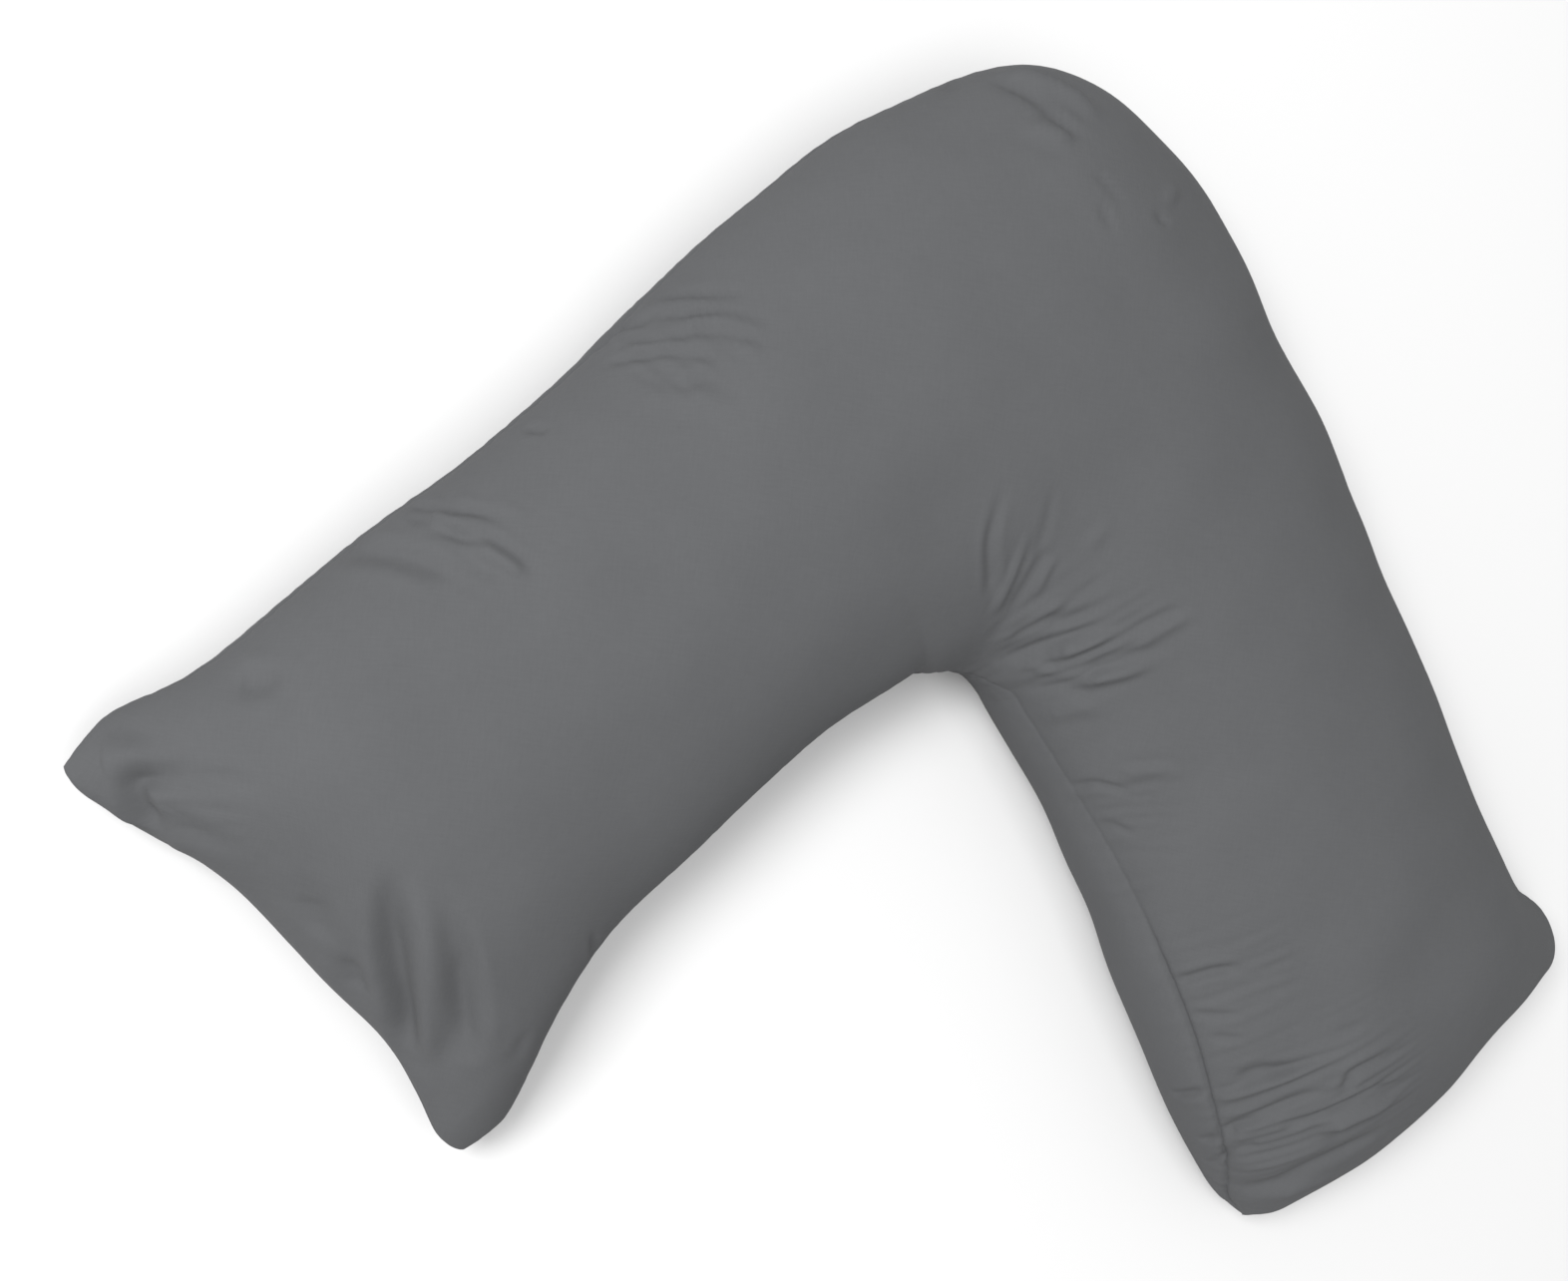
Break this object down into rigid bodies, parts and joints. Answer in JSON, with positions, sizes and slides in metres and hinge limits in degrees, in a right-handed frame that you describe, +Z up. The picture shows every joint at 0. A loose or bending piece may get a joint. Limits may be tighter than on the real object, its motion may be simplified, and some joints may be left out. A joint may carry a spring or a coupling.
{
  "type": "v shaped pillow",
  "caption": "V shaped filled cushion with a rounded apex, two plump arms and drawn-in ends between soft ears, sewn round the edge.",
  "frame": {"origin": "middle of the bounding box's bottom face, on the floor the pillow lies on", "axes": "+X across the two arms, from the left ears to the right ones; +Y along the middle line towards the rounded apex; +Z up, out of the pillow's upper face"},
  "size_m": [1.094, 0.74, 0.17],
  "materials": {
    "cloth": "matte plain-woven cloth, charcoal grey"
  },
  "bodies": {
    "root": {"pillow": "cloth"}
  },
  "joints": []
}
